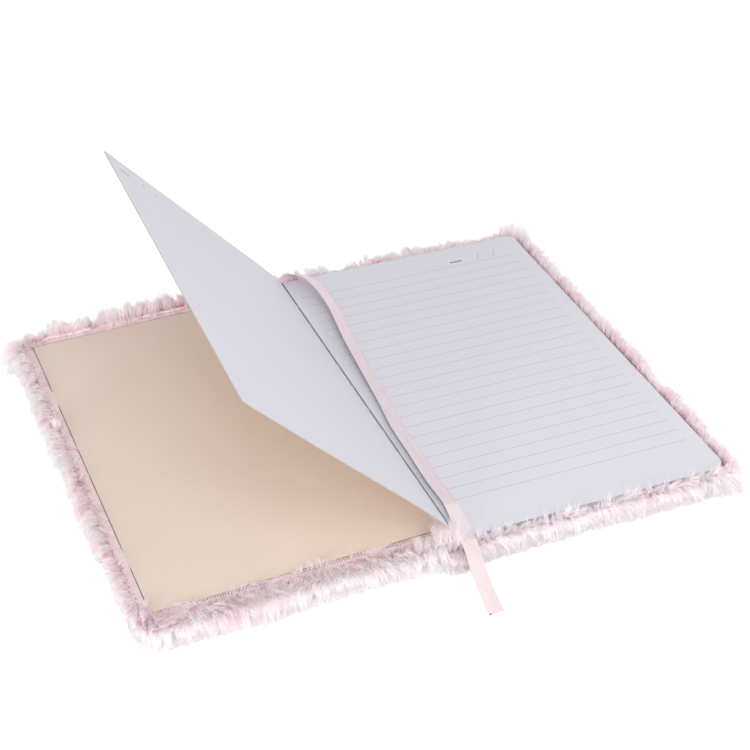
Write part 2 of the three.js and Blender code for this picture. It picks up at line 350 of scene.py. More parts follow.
def read_front(point):
    """The reverse of lay_front."""
    x, height = point[..., 0], point[..., 2] - front_hinge_height
    return np.stack([
        -x * np.cos(front_slope) - height * np.sin(front_slope),
        point[..., 1],
        x * np.sin(front_slope) - height * np.cos(front_slope) - front_face_drop,
    ], -1)


def object_place(tree):
    """A point's place in the piece's own metres."""
    return put(tree, "ShaderNodeTexCoord").outputs["Object"]


knit, tree, shader = start_material("knitted backing", 0.85, Sheen_Weight=0.3)
round_edge, outward, _ = split(tree, layer_place(tree, "border"))
spot = object_place(tree)
blotch = clouds(tree, spot, 120.0, 3.0)
wale = waves(tree, round_edge, 1.1)
course = waves(tree, outward, 0.9)
loops = times(tree, between(tree, wale, -0.2, 0.9), between(tree, course, -1.0, 0.2))
bare = band(tree, outward, 0.1, 0.4, 1.9, 2.6)
bare = times(tree, bare, between(tree, clouds(tree, spot, 55.0, 2.0), 0.42, 0.5))
bare = times(tree, bare, between(tree, round_edge, -140.0, -150.0))
knitted = mixed(
    tree, between(tree, wale, 0.55, 0.9), colour(226, 208, 212), colour(122, 100, 104)
)
specks = between(tree, clouds(tree, spot, 900.0, 2.0), 0.62, 0.67)
specks = times(tree, specks, band(tree, outward, 2.0, 3.5, 5.0, 8.0))
# Painted shadow: a thin dark line, in patches, along the endpaper's edge, for the shade in the gap
# under that edge.
gap = band(tree, outward, -1.5, -0.8, 0.3, 0.55)
gap = times(tree, gap, between(tree, clouds(tree, spot, 40.0, 2.0), 0.36, 0.46))
cloth = graded(
    tree, blotch, (0.3, 238, 212, 219), (0.5, 246, 228, 233), (0.75, 242, 220, 227)
)
cloth = mixed(tree, bare, cloth, knitted)
cloth = mixed(tree, specks, cloth, colour(150, 92, 106))
cloth = mixed(tree, gap, cloth, colour(120, 92, 94))
tree.links.new(cloth, shader.inputs["Base Color"])
velvet = clouds(tree, spot, 1300.0, 3.0)
raise_surface(tree, shader, maths(tree, "ADD", maths(tree, "ADD", loops, blotch), velvet), 0.0003)


def border_place(away, head, shift):
    """How far round the endpaper's edge a point lies, and how far outside that edge, in metres."""
    beyond_side = away - seat_edge
    beyond_end = abs(head - shift) - seat_half
    if beyond_side > beyond_end:
        return head, beyond_side
    return away + 0.3 * np.sign(head), beyond_end


def cloth_wrap(name, lay, node, body, shift):
    """The knitted cloth of one cover, laid where that cover lies."""
    shape = bmesh.new()
    bmesh.ops.create_cube(shape, size=1)
    middle = ((hinge_side + cover_reach) / 2, 0, (cloth_inside + cloth_outside) / 2)
    size = (cover_reach - hinge_side, 2 * cover_half, cloth_outside - cloth_inside)
    bmesh.ops.scale(shape, verts=shape.verts[:], vec=size)
    bmesh.ops.translate(shape, verts=shape.verts[:], vec=middle)
    corners = [
        edge for edge in shape.edges
        if abs(edge.verts[0].co.z - edge.verts[1].co.z) > 0.001 and edge.verts[0].co.x > middle[0]
    ]
    bmesh.ops.bevel(
        shape, geom=corners, offset=cover_corner, affect="EDGES", segments=6, profile=0.5,
        material=-1,
    )
    cuts = [(at, (1, 0, 0)) for at in (rim_inside, seat_edge)]
    cuts += [(at, (1, 0, 0)) for at in np.arange(0.0105, 0.128, swell_pitch)]
    cuts += [(at, (0, 1, 0)) for at in (rim_half, -rim_half, shift + seat_half, shift - seat_half)]
    cuts += [(shift + at, (0, 1, 0)) for at in np.arange(-0.0946, 0.095, swell_pitch)]
    cuts += [(at, (0, 1, 0)) for at in (-0.1015, -0.098, 0.1035)]
    cuts += [(0.1323, (1, 0, 0))]
    for at, along in cuts:
        bmesh.ops.bisect_plane(
            shape, geom=shape.verts[:] + shape.edges[:] + shape.faces[:],
            plane_co=Vector(along) * float(at), plane_no=along,
        )
    for inside, half, off_centre, lift in (
        (seat_edge, seat_half, shift, seat_lift), (rim_inside, rim_half, 0, rim_lift),
    ):
        ring = [
            face for face in shape.faces
            if face.normal.z < -0.9 and (
                face.calc_center_median().x > inside
                or abs(face.calc_center_median().y - off_centre) > half
            )
        ]
        raised = bmesh.ops.extrude_face_region(shape, geom=ring)
        bmesh.ops.delete(shape, geom=ring, context="FACES_ONLY")
        bmesh.ops.translate(
            shape, verts=[v for v in raised["geom"] if isinstance(v, bmesh.types.BMVert)],
            vec=(0, 0, -lift),
        )
    bmesh.ops.remove_doubles(shape, verts=shape.verts[:], dist=0.00001)
    rounded = [
        edge for edge in shape.edges
        if len(edge.link_faces) == 2 and edge.calc_face_angle() > 0.9
        and abs(edge.verts[0].co.z - edge.verts[1].co.z) < 0.0001
        and (edge.verts[0].co.z < -0.001 or edge.verts[0].co.z > 0.006)
        and edge.verts[0].co.x > 0.0065
    ]
    bmesh.ops.bevel(
        shape, geom=rounded, offset=cloth_roll, affect="EDGES", segments=3, profile=0.5,
        material=-1,
    )
    bmesh.ops.recalc_face_normals(shape, faces=shape.faces[:])
    if shape.calc_volume(signed=True) < 0:
        bmesh.ops.reverse_faces(shape, faces=shape.faces[:])
    shape.normal_update()
    marks = shape.loops.layers.uv.new("border")
    for vert in shape.verts:
        away, head, outwards = vert.co
        along_edge, past_edge = border_place(away, head, shift)
        flat = -0.0002 < outwards < 0.001 or past_edge < 0.0005 and outwards < 0.002
        swell = noise.noise(vert.co * 90) * 0.7 + noise.noise(vert.co * 260) * 0.4
        if outwards > 0.005:
            past_edge = 0.03 + abs(past_edge)
        for loop in vert.link_loops:
            loop[marks].uv = (1000 * along_edge, 1000 * past_edge)
        vert.co += vert.normal * swell * swell_height * (0.15 if flat else 1)
    for vert in shape.verts:
        vert.co = Vector(lay(np.array(vert.co)))
        vert.co.z = max(vert.co.z, lowest_cloth)
    if shape.calc_volume(signed=True) < 0:
        bmesh.ops.reverse_faces(shape, faces=shape.faces[:])
    wrap = finish_mesh(name, shape, knit)
    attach(wrap, body)
    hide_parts(node)
    return wrap


front_wrap = cloth_wrap(
    "front_plush_backing", lay_front, "front_plush", "front_cover", front_seat_shift
)
back_wrap = cloth_wrap("back_plush_backing", lay_back, "back_plush", "back_cover", 0.0)

# Pile of the plush: soft polyester hair, up to 14 mm long, knitted into the backing and matted in
# small locks. Each hair is a tapered blade; a lock's hairs share a direction and close at the tip.
hair_width = 0.00029
hair_curl = 0.055
hairs_per_mm2 = 15.0
lock_size = 0.0026
lowest_hair = 0.0003
farthest_left = -0.1490
farthest_right = 0.1530
most_hairs = 38000
tone_columns = 64
core_reach = 0.127
core_half = 0.096

plush_hair, tree, shader = start_material(
    "plush pile", 0.62, Sheen_Weight=0.8, Sheen_Roughness=0.5, Specular_IOR_Level=0.3
)
tone, height, _ = split(tree, layer_place(tree, "OFBake"))
roots = graded(
    tree, tone, (0.0, 182, 120, 138), (0.22, 238, 211, 219), (0.45, 250, 240, 243),
    (1.0, 251, 246, 248),
)
middles = graded(
    tree, tone, (0.0, 245, 222, 229), (0.3, 253, 246, 248), (0.7, 253, 250, 251),
    (1.0, 250, 250, 250),
)
# Painted shade: the tips of the high tones are grey, for the shade the outermost tips stand in against
# the light.
tips_with_painted_shade = graded(tree, tone, (0.0, 244, 234, 238), (0.6, 244, 240, 242), (1.0, 225, 224, 225))
hair = mixed(tree, between(tree, height, 0.0, 0.34), roots, middles)
hair = mixed(tree, between(tree, height, 0.58, 0.92), hair, tips_with_painted_shade)
tree.links.new(hair, shader.inputs["Base Color"])
tree.links.new(between(tree, height, 0.0, 1.0, 0.75, 0.5), shader.inputs["Roughness"])
passed_on = put(tree, "ShaderNodeBsdfTranslucent", hair).outputs[0]
surface = put(tree, "ShaderNodeMixShader", 0.64, shader.outputs[0], passed_on).outputs[0]
tree.links.new(surface, tree.nodes["Material Output"].inputs["Surface"])


def unit(vectors):
    return vectors / np.maximum(np.linalg.norm(vectors, axis=-1, keepdims=True), 1e-9)


def scattered(cells, seed):
    """Three even random numbers for each cell of a lattice, always the same for that cell."""
    mixed_up = (cells * np.array((73856093, 19349663, 83492791))).sum(-1) + seed * 7919
    numbers = []
    for salt in (11, 29, 53):
        value = (mixed_up * 2654435761 + salt * 97531) & 0xFFFFFFFF
        value = ((value ^ (value >> 15)) * 2246822519) & 0xFFFFFFFF
        value = ((value ^ (value >> 13)) * 3266489917) & 0xFFFFFFFF
        numbers.append(((value ^ (value >> 16)) & 0xFFFF) / 0x10000)
    return np.stack(numbers, -1)


def drifting(points, spacing, seed):
    """A smooth random vector at each point, between -1 and 1, that changes over the spacing."""
    place = points / spacing
    cell = np.floor(place).astype(np.int64)
    share = place - cell
    share = share * share * (3 - 2 * share)
    total = np.zeros_like(points)
    for corner in product((0, 1), repeat=3):
        weight = np.prod(np.where(corner, share, 1 - share), -1, keepdims=True)
        total += weight * scattered(cell + np.array(corner), seed)
    return total * 2 - 1


def locks_of(points, spacing, seed):
    """The lock that each root belongs to: the nearest of a scattered lattice's centres."""
    cell = np.floor(points / spacing).astype(np.int64)
    nearest = np.full(len(points), np.inf)
    chosen = np.zeros_like(cell)
    for step in product((-1, 0, 1), repeat=3):
        candidate = cell + np.array(step)
        gap = ((points - (candidate + scattered(candidate, seed)) * spacing) ** 2).sum(1)
        closer = gap < nearest
        nearest[closer] = gap[closer]
        chosen[closer] = candidate[closer]
    return np.unique(chosen @ np.array((1, 4096, 16777216)), return_inverse=True)[1].ravel()


def scatter_roots(piece, chance):
    """Even random places on a piece's surface, with its normals there."""
    mesh = piece.data
    mesh.calc_loop_triangles()
    corners = np.empty(len(mesh.loop_triangles) * 3, np.int32)
    mesh.loop_triangles.foreach_get("vertices", corners)
    places = np.empty(len(mesh.vertices) * 3, np.float32)
    mesh.vertices.foreach_get("co", places)
    normals = np.empty(len(mesh.vertices) * 3, np.float32)
    mesh.vertices.foreach_get("normal", normals)
    places = places.reshape(-1, 3)[corners].reshape(-1, 3, 3).astype(float)
    normals = normals.reshape(-1, 3)[corners].reshape(-1, 3, 3).astype(float)
    area = np.linalg.norm(
        np.cross(places[:, 1] - places[:, 0], places[:, 2] - places[:, 0]), axis=1
    ) / 2
    count = int(area.sum() * 1e6 * hairs_per_mm2)
    chosen = chance.choice(len(area), count, p=area / area.sum())
    first, second = chance.random((2, count))
    folded = first + second > 1
    first[folded], second[folded] = 1 - first[folded], 1 - second[folded]
    share = np.stack([1 - first - second, first, second], 1)[:, :, None]
    return (places[chosen] * share).sum(1), unit((normals[chosen] * share).sum(1))


def hair_mesh(name, root, normal, leave, arrive, length, pull, tone_of, width, chance):
    """One mesh of tapered blades from their roots, directions and lengths."""
    steps = np.array((0.0, 0.38, 0.74, 1.0))
    thickness = np.array((0.9, 1.0, 0.62, 0.0))
    count = len(root)
    path = root[:, None] + length[:, None, None] * (
        leave[:, None] * (steps - steps**2 / 2)[None, :, None]
        + arrive[:, None] * (steps**2 / 2)[None, :, None]
    )
    path -= pull[:, None] * (steps**1.4)[None, :, None]
    curl = chance.normal(0, hair_curl, (count, 1, 3)) * length[:, None, None]
    path += curl * (steps**2)[None, :, None]
    floor = lowest_hair + chance.random((count, 1)) * 0.0006
    highest = np.where(normal[:, 2:] < -0.5, root[:, 2:] + 0.0002, 1.0)
    path[..., 2] = np.clip(path[..., 2], floor, np.maximum(highest, floor))
    uneven = 0.001 * tone_of[:, None]
    path[..., 0] = np.clip(path[..., 0], farthest_left + uneven, farthest_right - uneven)
    run = unit(np.gradient(path, axis=1))
    facing = normal[:, None] + chance.normal(0, 0.45, (count, 1, 3))
    sideways = unit(np.cross(run, facing))
    spread = sideways * (width[:, None] * thickness[None])[..., None] / 2
    places = np.empty((count, 7, 3))
    places[:, 0:6:2] = (path - spread)[:, :3]
    places[:, 1:6:2] = (path + spread)[:, :3]
    places[:, 6] = path[:, 3]
    blade = np.array((0, 1, 3, 2, 2, 3, 5, 4, 4, 5, 6))
    corners = (np.arange(count)[:, None] * 7 + blade[None]).ravel()
    across = np.array((0, 1, 0, 1, 0, 1, 0.5))
    column = np.clip((tone_of * tone_columns).astype(int), 0, tone_columns - 1)
    up = steps[[0, 0, 1, 1, 2, 2, 3]]
    tone_at = (column[:, None] + 0.1 + 0.8 * across[None]) / tone_columns
    marks = np.stack([tone_at, np.repeat(0.02 + 0.96 * up[None], count, 0)], -1)
    mesh = bpy.data.meshes.new(name)
    mesh.vertices.add(count * 7)
    mesh.vertices.foreach_set("co", places.astype(np.float32).ravel())
    mesh.loops.add(count * 11)
    mesh.loops.foreach_set("vertex_index", corners.astype(np.int32))
    mesh.polygons.add(count * 3)
    starts = (np.arange(count)[:, None] * 11 + np.array((0, 4, 8))[None]).ravel()
    mesh.polygons.foreach_set("loop_start", starts.astype(np.int32))
    mesh.update(calc_edges=True)
    mesh.polygons.foreach_set("use_smooth", np.ones(count * 3, bool))
    layer = mesh.uv_layers.new(name="OFBake")
    layer.uv.foreach_set("vector", marks.reshape(-1, 2)[corners].astype(np.float32).ravel())
    mesh.materials.append(plush_hair)
    piece = bpy.data.objects.new(name, mesh)
    bpy.context.scene.collection.objects.link(piece)
    return piece


def grow_pile(name, root, normal, leave, arrive, length, tone_of, chance, closing=0.34):
    """Gathers hairs in locks and makes them, in pieces of at most most_hairs along the spine."""
    which = locks_of(root, lock_size, 5)
    amount = np.bincount(which)
    middle = np.stack([np.bincount(which, root[:, k]) / amount for k in range(3)], 1)
    tilt = chance.normal(0, 0.15, (len(amount), 3))
    stretch = chance.uniform(0.68, 1.18, len(amount))
    shade = chance.normal(0, 0.13, len(amount))
    tightness = np.clip(chance.normal(closing, 0.16, len(amount)), 0.1, 0.92)
    leave = unit(unit(leave) + tilt[which] * 0.55 + chance.normal(0, 0.08, root.shape))
    arrive = unit(unit(arrive) + tilt[which] + chance.normal(0, 0.12, root.shape))
    loose = chance.random(len(root)) < 0.07
    arrive[loose] = unit(arrive[loose] + chance.normal(0, 0.5, (loose.sum(), 3)))
    pull = (root - middle[which]) * (tightness[which] * ~loose)[:, None]
    length = length * stretch[which] * chance.uniform(0.82, 1.08, len(root))
    tone_of = np.clip(tone_of + shade[which] + chance.normal(0, 0.1, len(root)), 0, 0.999)
    width = hair_width * chance.uniform(0.7, 1.25, len(root))
    order = np.argsort(root[:, 1])
    pieces = []
    for number, some in enumerate(np.array_split(order, -(-len(order) // most_hairs))):
        hairs = (part[some] for part in (root, normal, leave, arrive, length, pull, tone_of, width))
        pieces.append(hair_mesh(f"{name}_{number + 1}", *hairs, chance))
    return pieces


def cover_pile(side, wrap, lay, read, body, seed, side_stand, rise, shift):
    """The hair of one cover, combed by where on the board it grows."""
    is_front = side == "front"
    is_back = not is_front
    chance = np.random.default_rng(seed)
    root, normal = scatter_roots(wrap, chance)
    place = read(root)
    turned = unit(read(root + normal * 0.001) - place)
    outwards = turned[:, 2]
    near = np.stack([
        np.clip(place[:, 0], None, core_reach), np.clip(place[:, 1], -core_half, core_half),
        np.zeros(len(root)),
    ], 1)
    off = place * (1, 1, 0) - near
    beyond = np.linalg.norm(off, axis=1)
    off = np.where(beyond[:, None] > 0.0005, unit(off), 0)
    sideward = np.clip(off[:, 0], 0, 1)
    headward = np.clip(off[:, 1], 0, 1)
    tailward = np.clip(-off[:, 1], 0, 1)
    past_seat = np.maximum(place[:, 0] - seat_edge, np.abs(place[:, 1] - shift) - seat_half)
    inner = outwards < -0.5
    ledge = inner & (place[:, 2] > -0.0006)
    crest = inner & ~ledge
    outer = outwards > 0.5
    wall = ~inner & ~outer
    facing_in = wall & ((turned * off).sum(1) < -0.3)
    wall &= ~facing_in
    hinge = place[:, 0] < hinge_side + 0.0006
    keep = np.full(len(root), 0.5)
    keep[crest] = 1.0
    keep[facing_in] = np.clip(0.35 + off[:, 1], 0.35, 1)[facing_in]
    keep[ledge] = np.where(sideward > 0.8, 0.05 if is_front else 0.4, 0.3)[ledge]
    keep[inner & (past_seat < 0.0002)] = 0
    keep[outer] = 0.09
    keep[hinge & ~outer] = np.where(np.abs(place[:, 1]) > 0.1005, 0.1, 0)[hinge & ~outer]
    draw = chance.random(len(root))
    patch = drifting(place, 0.009, 31)[:, 0]
    tail_or_head = np.abs(place[:, 1] - shift) - seat_half > place[:, 0] - seat_edge
    parted = ledge & tail_or_head & (patch > 0.05) & (past_seat < 0.0022)
    thinned = parted & (chance.random(len(root)) > 0.12)

    up = np.array((0, 0, -1.0))
    sway = drifting(place, 0.016, seed + 1)
    ruffle = drifting(place, 0.006, seed + 3)
    away = off + sway * (1, 1, 0) * 0.3
    trail = np.array((0, -0.45, 0)) * sideward[:, None]
    comb = np.array((0, -1.0, 0)) + sway * (0.6, 0.25, 0)
    to_edge = np.clip((beyond - 0.002) / 0.008, 0, 1)[:, None]
    comb = unit(comb * (1 - to_edge) + away * to_edge)
    stand = np.clip(side_stand * off[:, 0] + 0.85 * headward + 0.12 * tailward, 0, 1)[:, None]
    hug = 1 - stand
    height = root[:, 2]
    to_rim = np.minimum(cover_reach - place[:, 0], cover_half - np.abs(place[:, 1]))
    under = np.clip(1 - height / 0.007, 0, 1)[:, None] * hug
    far = np.clip((past_seat - 0.0022) / 0.003, 0, 1)[:, None]
    far = far * (1 - 0.75 * sideward[:, None] * (1 - rise))
    leave, arrive, length = np.zeros_like(root), np.zeros_like(root), np.zeros(len(root))
    rules = (
        (outer, turned * 0.42 + comb, comb + turned * 0.02,
         np.minimum(0.0135, 0.0035 + 0.9 * np.clip(to_rim, 0, None))),
        (wall, turned * (0.3 + 0.6 * stand) - up * 0.7 * hug + trail + sway * 0.3,
         away * 0.9 * stand - up * (0.35 + 0.75 * hug) - off * (0.2 * hug + 1.2 * under) + trail
         + sway * 0.25,
         np.minimum(0.0066 + 0.0034 * stand[:, 0], 0.0012 + height * (1 + 3 * stand[:, 0]))),
        (crest, up * (0.25 + 0.75 * stand + 0.45 * (rise - 0.65)) + away * (0.95 - 0.5 * stand) + trail,
         away * (0.25 + 0.6 * stand) - up * (1.1 - 1.0 * stand) + trail + sway * 0.2,
         0.0128 - 0.0030 * stand[:, 0]),
        (facing_in, up * (0.7 + 0.3 * stand) + away * 0.45 + ruffle * 0.3,
         away * (0.8 - 0.2 * stand) - up * (0.35 - 0.5 * stand) + trail + sway * 0.3,
         0.0112 - 0.0015 * stand[:, 0]),
        (ledge, up * (0.35 + 0.5 * far) + away * 0.75 + trail + ruffle * 0.5,
         away - up * 0.25 * far + up * 0.12 * (1 - far) + trail + ruffle * 0.6,
         0.0052 + 0.0056 * far[:, 0]),
    )
    for mask, first, last, reach in rules:
        leave[mask], arrive[mask], length[mask] = first[mask], last[mask], reach[mask]
    pressed = np.clip((-place[:, 1] - 0.033) / 0.024, 0, 1) * sideward * is_front
    length *= 1 - 0.40 * pressed
    near_ribbon = np.clip(1.6 - np.abs(place[:, 0] - 0.034) / 0.022, 0, 1)
    length *= 1 - 0.3 * tailward * wall * is_front * near_ribbon
    length *= 1 + 0.22 * sideward * is_back
    length *= 1 + 0.42 * drifting(place, 0.011, seed + 9)[:, 0] * headward * is_back
    beside_page = (crest | facing_in) & (off[:, 1] < 0.5)
    raised = beside_page & (chance.random(len(root)) < 0.8) & is_back
    bent = chance.random((len(root), 1)) ** 3
    leave[raised] = (up + away * (0.06 + 0.5 * bent))[raised]
    arrive[raised] = (up * (0.8 - 1.0 * bent) + away * (0.3 + 0.7 * bent) + ruffle * 0.5)[raised]
    length[raised] = 0.0072 + 0.0016 * np.clip((place[raised, 0] - 0.02) / 0.03, 0, 1)
    corner = np.clip(off[:, 0] * np.abs(off[:, 1]) * 2, 0, 1) * (stand[:, 0] > 0.2)
    length *= 1 + 0.42 * corner * (off[:, 1] > 0) + 0.22 * corner * (off[:, 1] < 0) * is_back
    cornered = (ledge | facing_in) & (place[:, 0] > 0.118) & (place[:, 1] < -0.0885) & is_front
    cornered &= past_seat > 0.0002
    keep[cornered] = 0.6
    leave[cornered] = (up * 0.8 - off * 0.3 + ruffle * 0.9)[cornered]
    arrive[cornered] = (ruffle * 1.6 + off * 0.2)[cornered]
    length[cornered] = 0.0040
    straying = (facing_in | crest) & (past_seat < 0.0095)
    straying &= drifting(place, 0.007, seed + 2)[:, 1] > 0.56
    leave[straying] = (up * 1.0 - off * 0.2 + ruffle * 0.7)[straying]
    arrive[straying] = (up * 0.1 - off * 0.8 + ruffle * 1.4)[straying]
    length[straying] = 0.0052
    tone_of = 0.6 + 0.25 * drifting(place, 0.02, 17)[:, 0]
    # Painted shade: wall hair on the sides and head is moved towards the high tones, whose tips are
    # painted grey; the tail's wall and the ledge are held lower and stay pinker.
    tone_of += 0.3 * wall * np.clip(stand[:, 0] * 2.5, 0, 1)
    tone_of[crest | facing_in] -= 0.12
    tone_of -= 0.12 * tailward * wall
    tone_of[ledge | facing_in] = np.minimum(tone_of, 0.48 + 0.06 * tailward)[ledge | facing_in]
    tone_of[straying] -= 0.2
    tone_of[cornered] -= 0.15
    tone_of -= 0.2 * (crest | facing_in) * sideward * is_back
    speck = (past_seat > 0.0028) & (past_seat < 0.0052) & (ledge | facing_in | crest)
    speck &= drifting(place, 0.0016, seed + 6)[:, 0] > 0.22
    speck &= drifting(place, 0.012, seed + 7)[:, 0] > -0.35
    tone_of[speck] = 0.0
    length[speck] = 0.0016

    kept = (draw < keep) & ~(thinned & ~cornered)
    leave, arrive = (
        (lay(place + unit(way) * 0.001) - lay(place)) / 0.001 for way in (leave, arrive)
    )
    hairs = (part[kept] for part in (root, normal, leave, arrive, length, tone_of))
    for piece in grow_pile(f"{side}_pile", *hairs, chance, closing=0.42):
        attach(piece, body)


cover_pile("front", front_wrap, lay_front, read_front, "front_cover", 3, 0.4, 0.65, front_seat_shift)
cover_pile("back", back_wrap, lay_back, read_back, "back_cover", 8, 0.65, 1.0, 0.0)

# Plush of the spine: the same cloth, run on from cover to cover over the spine's card. The strips
# beside the card, and their hair, keep their places at rest and move with no cover.
spine_half = 0.1065
cloth_thickness = 0.0005
strip_rows = 56


def cloth_strip(name, route):
    """A strip of the knitted cloth, as long as the spine, through these (x, z) points."""
    shape = bmesh.new()
    ends = [shape.verts.new((x, -spine_half, z)) for x, z in route]
    moving = [shape.edges.new(pair) for pair in zip(ends, ends[1:])]
    for _ in range(strip_rows):
        grown = bmesh.ops.extrude_edge_only(shape, edges=moving)["geom"]
        verts = [part for part in grown if isinstance(part, bmesh.types.BMVert)]
        bmesh.ops.translate(shape, verts=verts, vec=(0, 2 * spine_half / strip_rows, 0))
        moving = [
            part for part in grown
            if isinstance(part, bmesh.types.BMEdge) and len(part.link_faces) == 1
            and abs(part.verts[0].co.y - part.verts[1].co.y) < 1e-6
        ]
    bmesh.ops.recalc_face_normals(shape, faces=shape.faces[:])
    bmesh.ops.solidify(shape, geom=shape.faces[:], thickness=cloth_thickness)
    marks = shape.loops.layers.uv.new("border")
    for face in shape.faces:
        for loop in face.loops:
            loop[marks].uv = (loop.vert.co.y * 1000, 20 + loop.vert.co.z * 1000)
    strip = finish_mesh(name, shape, knit)
    return strip


spine_wrap = cloth_strip(
    "spine_plush_backing", [(-0.0040, z) for z in (0.0041, 0.006, 0.008, 0.010, 0.0117)]
)
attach(spine_wrap, "text_block")
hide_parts("spine_plush")
front_joint = cloth_strip(
    "front_joint_backing", [(-0.0053, z) for z in np.linspace(0.0118, 0.00325, 9)]
)
back_joint = cloth_strip(
    "back_joint_backing",
    list(zip(np.linspace(-0.0052, 0.0062, 11), np.linspace(0.0042, 0.0016, 11))),
)


def strip_pile(name, low, high, count, facing, leave, arrive, reach, seed):
    """Hair on a strip between two corners, all of it leaving in one direction."""
    chance = np.random.default_rng(seed)
    root = chance.uniform(low, high, (count, 3))
    sway = drifting(root, 0.014, seed)
    leave = np.array(leave, float) + sway * 0.3
    arrive = np.array(arrive, float) + sway * 0.45
    tone_of = 0.5 + 0.3 * sway[:, 0]
    normal = np.tile(unit(np.array(facing, float)), (count, 1))
    return grow_pile(name, root, normal, leave, arrive, np.full(count, reach), tone_of, chance)


for piece in strip_pile(
    "spine_pile", (-0.0046, -spine_half, 0.0040), (-0.0044, spine_half, 0.0117), 9000,
    (-1, 0, 0.2), (-1, 0, 0), (-0.7, -0.6, -0.1), 0.0085, 21,
):
    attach(piece, "text_block")
for side in (-1, 1):
    low, high = sorted((side * 0.1045, side * 0.1062))
    for piece in strip_pile(
        f"spine_{'head' if side > 0 else 'tail'}_pile", (-0.0062, low, 0.0012), (0.0072, high, 0.0104),
        5200, (0, side, 0.6), (0, side, 0.35), (0.05, side * 0.6, -0.75), 0.0075, 23 + side,
    ):
        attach(piece, "text_block")
for name, side, left, right, count, reach, lean, mover in (
    ("panel_tail_tuft", -1, -0.0190, -0.0080, 2000, 0.0095, 0.30, "front_cover"),
    ("gutter_tail_tuft", -1, -0.0095, -0.0006, 2000, 0.0136, 0.62, None),
    ("ribbon_tail_tuft", -1, 0.0002, 0.0085, 1300, 0.0045, 0.0, "text_block"),
    ("page_tail_tuft", -1, 0.0088, 0.0190, 1800, 0.0066, 0.12, "text_block"),
    ("gutter_head_tuft", 1, -0.0090, 0.0100, 2400, 0.0078, -0.3, None),
):
    low, high = sorted((side * 0.1056, side * 0.1068))
    for piece in strip_pile(
        name, (left, low, 0.0085), (right, high, 0.0120), count, (0, side, 0.6), (0, side * 0.1, 1),
        (0.05, -side * lean, 0.8), reach, 43 + count,
    ):
        if mover:
            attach(piece, mover)
        else:
            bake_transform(piece)
front_joint_hair = strip_pile(
    "front_joint_pile", (-0.0057, -spine_half, 0.0033), (-0.0056, spine_half, 0.0085), 7500,
    (-1, 0, 0.1), (-1, -0.1, -0.2), (-0.8, -0.6, -0.5), 0.0080, 27,
)
back_joint_hair = strip_pile(
    "back_joint_pile", (-0.0052, -spine_half, 0.0012), (0.0062, spine_half, 0.0016), 7000,
    (0, 0, -1), (0, -0.6, -0.6), (0, -1, -0.1), 0.009, 29,
)
for piece in [front_joint] + front_joint_hair:
    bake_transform(piece)
for piece in [back_joint] + back_joint_hair:
    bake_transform(piece)

# Boards and spine card: grey millboard, cut square, wholly wrapped and glued in; only their grain
# would ever show.


def fibre_group():
    """Paper fibre: fine flecks, slow cloudiness, and a height for both."""
    group = bpy.data.node_groups.new("paper fibre", "ShaderNodeTree")
    for name, kind in (("Sheet", "NodeSocketColor"), ("Cloud", "NodeSocketFloat"),
                       ("Fleck", "NodeSocketFloat")):
        group.interface.new_socket(name, in_out="INPUT", socket_type=kind)
    group.interface.new_socket("Colour", in_out="OUTPUT", socket_type="NodeSocketColor")
    group.interface.new_socket("Height", in_out="OUTPUT", socket_type="NodeSocketFloat")
    given = group.nodes.new("NodeGroupInput")
    result = group.nodes.new("NodeGroupOutput")
    spot = object_place(group)
    cloud = clouds(group, spot, 22.0, 2.0)
    fleck = clouds(group, spot, 1500.0, 3.0)
    shift = maths(
        group, "ADD",
        times(group, maths(group, "SUBTRACT", cloud, 0.5), given.outputs["Cloud"]),
        times(group, maths(group, "SUBTRACT", fleck, 0.5), given.outputs["Fleck"]),
    )
    tuned = group.nodes.new("ShaderNodeHueSaturation")
    group.links.new(given.outputs["Sheet"], tuned.inputs["Color"])
    group.links.new(maths(group, "ADD", shift, 1.0), tuned.inputs["Value"])
    group.links.new(tuned.outputs[0], result.inputs["Colour"])
    height = maths(group, "ADD", times(group, fleck, 0.35), cloud)
    group.links.new(height, result.inputs["Height"])
    return group


paper_fibre = fibre_group()


def fibrous(tree, shader, sheet, cloud, fleck, depth):
    """Puts paper fibre under a shader, over a plain or a printed colour."""
    fibre = put(tree, "ShaderNodeGroup", node_tree=paper_fibre)
    for socket, value in (("Sheet", sheet), ("Cloud", cloud), ("Fleck", fleck)):
        feed(tree, fibre.inputs[socket], value)
    tree.links.new(fibre.outputs["Colour"], shader.inputs["Base Color"])
    raise_surface(tree, shader, fibre.outputs["Height"], depth)


def dress(material, *nodes):
    """Gives these solids of the frame their finish."""
    for node in nodes:
        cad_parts[node].data.materials.clear()
        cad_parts[node].data.materials.append(material)


millboard, tree, shader = start_material("millboard", 0.9)
fibrous(tree, shader, colour(168, 164, 156), 0.12, 0.35, 0.0002)
dress(millboard, "front_board", "back_board", "spine_card")

# Lining of the spine: open cotton mull glued to the folded backs, under the card.
mull_pitch = 0.0009
mull, tree, shader = start_material("cotton mull", 0.9)
_, spine_way, upward = split(tree, object_place(tree))
threads = maths(
    tree, "MAXIMUM", waves(tree, spine_way, mull_pitch), waves(tree, upward, mull_pitch)
)
woven = graded(tree, threads, (0.2, 170, 164, 150), (0.8, 216, 212, 200))
tree.links.new(woven, shader.inputs["Base Color"])
raise_surface(tree, shader, threads, 0.0002)
dress(mull, "spine_lining")

# Endpapers: stout beige paper. One is glued inside each cover over the folded-in plush, where it
# lies in faint waves; the front one's other half stands behind the lifted leaf.
endpaper_thickness = 0.00024
endpaper_fold = 0.0026
endpaper, tree, shader = start_material("beige endpaper", 0.72, Specular_IOR_Level=0.3)
fibrous(tree, shader, colour(223, 207, 194), 0.06, 0.03, 0.0004)
upright = Vector((0, 0, 1))


